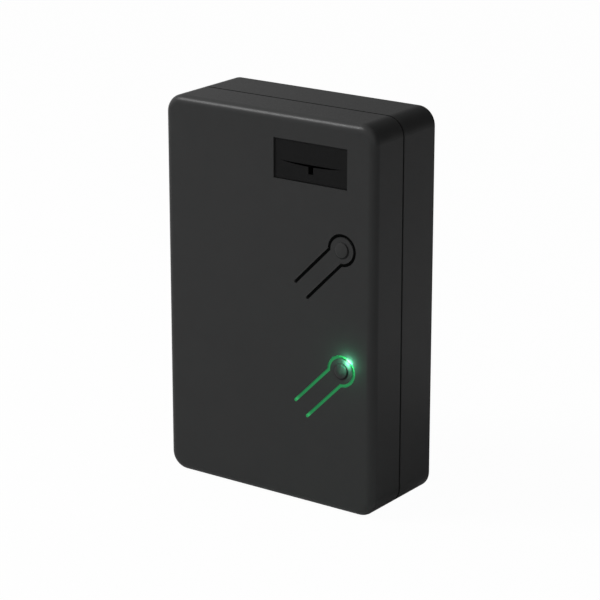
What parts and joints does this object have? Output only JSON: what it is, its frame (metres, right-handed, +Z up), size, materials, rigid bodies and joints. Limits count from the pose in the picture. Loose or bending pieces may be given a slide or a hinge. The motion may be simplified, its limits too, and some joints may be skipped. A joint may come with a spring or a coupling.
{
  "type": "garage door controller",
  "caption": "Upright black wall box of a radio garage door controller with spring-tongue push buttons, a lit button slot, relays and screw terminals inside.",
  "frame": {"origin": "middle of the box's foot, halfway between the wall face and the tips of the button nubs", "axes": "+Z up along the box's height, the front with the buttons faces -Y, the wall face faces +Y, +X to the right seen from the front"},
  "size_m": [0.07, 0.0294, 0.11],
  "materials": {
    "case_black": "fine matt texture",
    "insert_black": "matt",
    "guide_smoked": "smoked translucent",
    "guide_lit": "smoked translucent, lit from behind",
    "led_unlit": "clear diffused",
    "led_lit": "clear diffused, lit",
    "bush_rubber": "matt",
    "screw_zinc": "bright zinc",
    "screw_black": "black oxide",
    "board_green": "solder mask",
    "terminal_green": "satin",
    "cage_nickel": "nickel plated",
    "relay_blue": "satin",
    "copper_wire": "bare copper",
    "tin_plate": "tin plated",
    "epoxy_black": "matt epoxy",
    "capacitor_sleeve": "gloss sleeve",
    "varistor_blue": "gloss coating",
    "fuse_brown": "gloss",
    "crystal_can": "nickel",
    "switch_black": "satin",
    "sleeve_black": "satin",
    "header_black": "satin",
    "ceramic_tan": "satin",
    "diode_glass": "gloss"
  },
  "bodies": {
    "rear_case": {"rear_cover": "case_black", "led_upper": "led_unlit", "led_lower": "led_lit", "led_sleeves": "sleeve_black", "cable_grommet": "bush_rubber", "case_screws": "screw_black", "board_screws": "screw_zinc", "circuit_board": "board_green", "terminal_block": "terminal_green", "terminal_screws": "screw_zinc", "terminal_cages": "cage_nickel", "relay_channel_1": "relay_blue", "relay_channel_2": "relay_blue", "relay_diodes": "diode_glass", "driver_transistors": "epoxy_black", "smoothing_capacitors": "capacitor_sleeve", "voltage_regulator": "epoxy_black", "fuse": "fuse_brown", "varistor": "varistor_blue", "bridge_rectifier": "epoxy_black", "microcontroller": "epoxy_black", "microcontroller_leads": "tin_plate", "memory_chip": "epoxy_black", "memory_chip_leads": "tin_plate", "quartz_crystal": "crystal_can", "receiver_board": "board_green", "receiver_header": "header_black", "receiver_pins": "tin_plate", "receiver_shield": "tin_plate", "antenna_coil": "copper_wire", "chip_resistors": "epoxy_black", "chip_capacitors": "ceramic_tan", "chip_end_caps": "tin_plate", "tact_switch_upper": "switch_black", "tact_switch_lower": "switch_black", "switch_plates": "tin_plate"},
    "front_case": {"front_cover": "case_black", "window_insert": "insert_black", "light_guide_upper": "guide_smoked", "light_guide_lower": "guide_lit"},
    "button_upper": {"button_upper": "case_black"},
    "button_lower": {"button_lower": "case_black"},
    "switch_stem_upper": {"switch_stem_upper": "switch_black"},
    "switch_stem_lower": {"switch_stem_lower": "switch_black"}
  },
  "joints": [
    {"name": "cover_lift", "type": "slide", "parent": "rear_case", "child": "front_case", "axis": [0, -1, 0], "range_m": [0, 0.05]},
    {"name": "button_lower_press", "type": "hinge", "parent": "front_case", "child": "button_lower", "pos_m": [0.01135, -0.01293, 0.02785], "axis": [-0.7071, 0, 0.7071], "range_deg": [0, 1.5], "stiffness_Nm_per_rad": 0.4},
    {"name": "button_upper_press", "type": "hinge", "parent": "front_case", "child": "button_upper", "pos_m": [0.01135, -0.01293, 0.06185], "axis": [-0.7071, 0, 0.7071], "range_deg": [0, 1.5], "stiffness_Nm_per_rad": 0.4},
    {"name": "switch_lower_travel", "type": "slide", "parent": "rear_case", "child": "switch_stem_lower", "axis": [0, 1, 0], "range_m": [0, 0.00025]},
    {"name": "switch_upper_travel", "type": "slide", "parent": "rear_case", "child": "switch_stem_upper", "axis": [0, 1, 0], "range_m": [0, 0.00025]}
  ],
  "couplings": [
    {"joint": "switch_lower_travel", "follows": "button_lower_press", "m_per_rad": 0.0095},
    {"joint": "switch_upper_travel", "follows": "button_upper_press", "m_per_rad": 0.0095}
  ]
}
